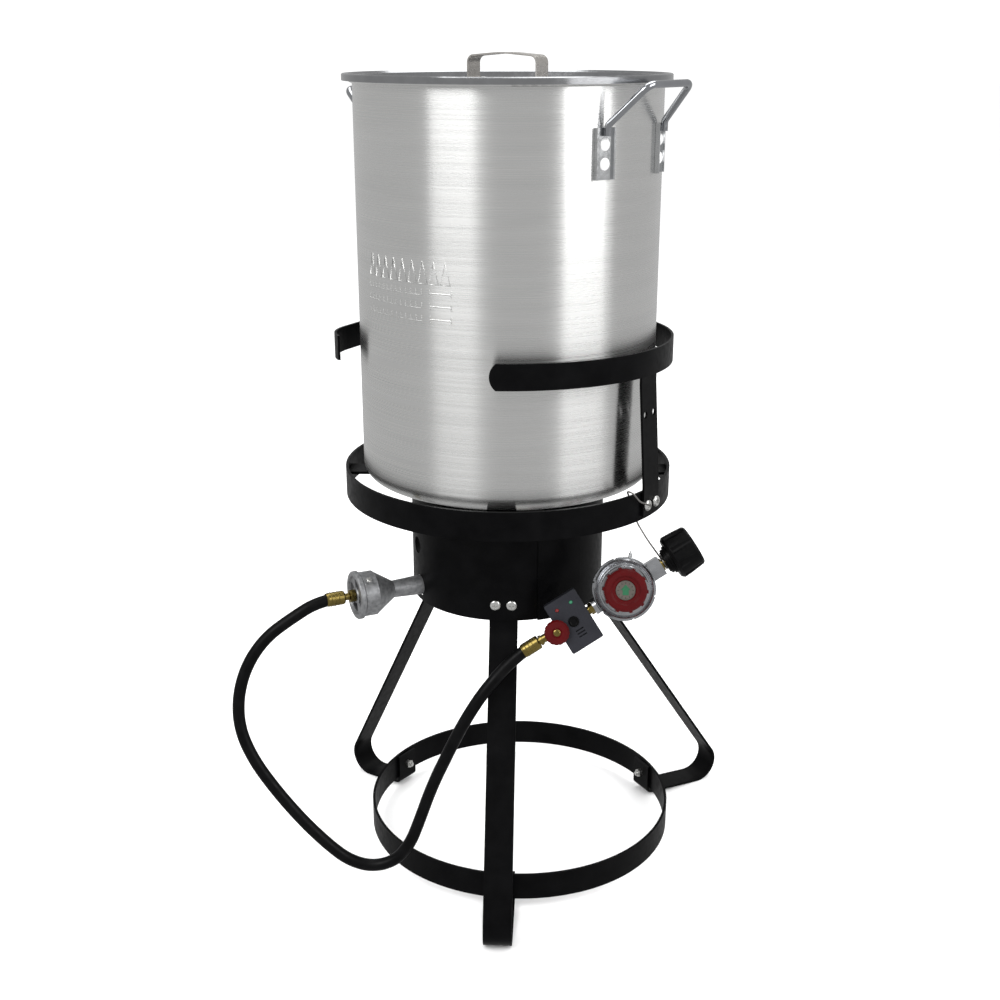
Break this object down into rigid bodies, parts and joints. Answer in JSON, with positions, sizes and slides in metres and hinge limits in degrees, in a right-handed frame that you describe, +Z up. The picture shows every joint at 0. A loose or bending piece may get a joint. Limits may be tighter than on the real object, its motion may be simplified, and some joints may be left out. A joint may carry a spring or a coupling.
{
  "type": "outdoor fryer kit",
  "caption": "Gas burner on a black strap-steel stand with guard hoop, hose, regulator and shut-off timer, carrying a tall lidded aluminium pot.",
  "frame": {"origin": "on the floor, on the pot's axis", "axes": "+Z up, +X to the right seen from the front, the front faces -Y"},
  "size_m": [0.5568, 0.4319, 0.8856],
  "materials": {
    "black_steel": "satin black powder coat",
    "zinc_plated": "bright zinc plate",
    "cast_aluminium": "rough sand casting",
    "cast_iron": "rough casting",
    "brass": "turned",
    "zinc_casting": "die cast, crimped",
    "red_plastic": "moulded",
    "dial_face": "printed",
    "black_plastic": "moulded",
    "timer_grey": "fine spark texture",
    "green_lens": "clear lens",
    "red_lens": "clear lens",
    "hose_rubber": "smooth",
    "steel_wire": "plated",
    "pot_aluminium": "brushed",
    "rivet_aluminium": "bright"
  },
  "bodies": {
    "stand": {"support_ring": "black_steel", "pot_bar": "black_steel", "leg_front": "black_steel", "leg_right": "black_steel", "leg_left": "black_steel", "base_ring": "black_steel", "heat_shield": "black_steel", "guard_hoop": "black_steel", "guard_upright_front": "black_steel", "guard_upright_rear": "black_steel", "burner_bracket": "black_steel", "leg_screws": "zinc_plated", "leg_nuts": "zinc_plated", "base_screws": "zinc_plated", "base_nuts": "zinc_plated", "guard_screws": "zinc_plated", "guard_nuts": "zinc_plated", "burner_bolt": "zinc_plated", "mixer_screws": "zinc_plated", "venturi_mixer": "cast_aluminium", "burner_head": "cast_iron", "orifice_fitting": "brass", "hose_ferrule_burner": "brass", "inlet_fitting": "brass", "outlet_nipple": "brass", "valve_body": "brass", "hose_ferrule_valve": "brass", "regulator_body": "zinc_casting", "regulator_bonnet": "zinc_casting", "regulator_vent": "black_plastic", "timer_box": "timer_grey", "timer_led_green": "green_lens", "timer_led_red": "red_lens", "hose": "hose_rubber", "hanger_wire": "steel_wire"},
    "pot": {"pot_body": "pot_aluminium", "pot_handle_front": "steel_wire", "handle_plates_front": "pot_aluminium", "handle_rivets_front": "rivet_aluminium", "pot_handle_rear": "steel_wire", "handle_plates_rear": "pot_aluminium", "handle_rivets_rear": "rivet_aluminium"},
    "lid": {"lid": "pot_aluminium", "lid_handle": "pot_aluminium", "lid_rivets": "rivet_aluminium"},
    "air_shutter": {"air_shutter": "cast_aluminium"},
    "regulator_knob": {"regulator_knob": "red_plastic", "regulator_dial": "dial_face"},
    "cylinder_nut": {"cylinder_nut": "black_plastic"},
    "valve_knob": {"valve_knob": "red_plastic", "valve_knob_screw": "brass"},
    "timer_button": {"timer_button": "black_plastic"}
  },
  "joints": [
    {"name": "pot_lift", "type": "slide", "parent": "stand", "child": "pot", "axis": [0, 0, 1], "range_m": [0, 0.2]},
    {"name": "lid_lift", "type": "slide", "parent": "pot", "child": "lid", "axis": [0, 0, 1], "range_m": [0, 0.15]},
    {"name": "air_shutter_turn", "type": "hinge", "parent": "stand", "child": "air_shutter", "pos_m": [0, 0, 0.3345], "axis": [-0.9063, -0.4226, 0], "range_deg": [-12, 33]},
    {"name": "regulator_turn", "type": "hinge", "parent": "stand", "child": "regulator_knob", "pos_m": [0.1204, -0.12, 0.3606], "axis": [0, -0.9511, 0.309], "range_deg": [0, 300]},
    {"name": "cylinder_nut_spin", "type": "hinge", "parent": "stand", "child": "cylinder_nut", "pos_m": [0.1204, -0.11239, 0.35813], "axis": [0.8453, 0.1651, 0.5082], "continuous": true},
    {"name": "valve_turn", "type": "hinge", "parent": "stand", "child": "valve_knob", "pos_m": [0.05075, -0.13361, 0.31872], "axis": [0, -0.9511, 0.309], "range_deg": [0, 720]},
    {"name": "timer_press", "type": "slide", "parent": "stand", "child": "timer_button", "axis": [0, 0.9511, -0.309], "range_m": [0, 0.0015], "stiffness_N_per_m": 400}
  ]
}
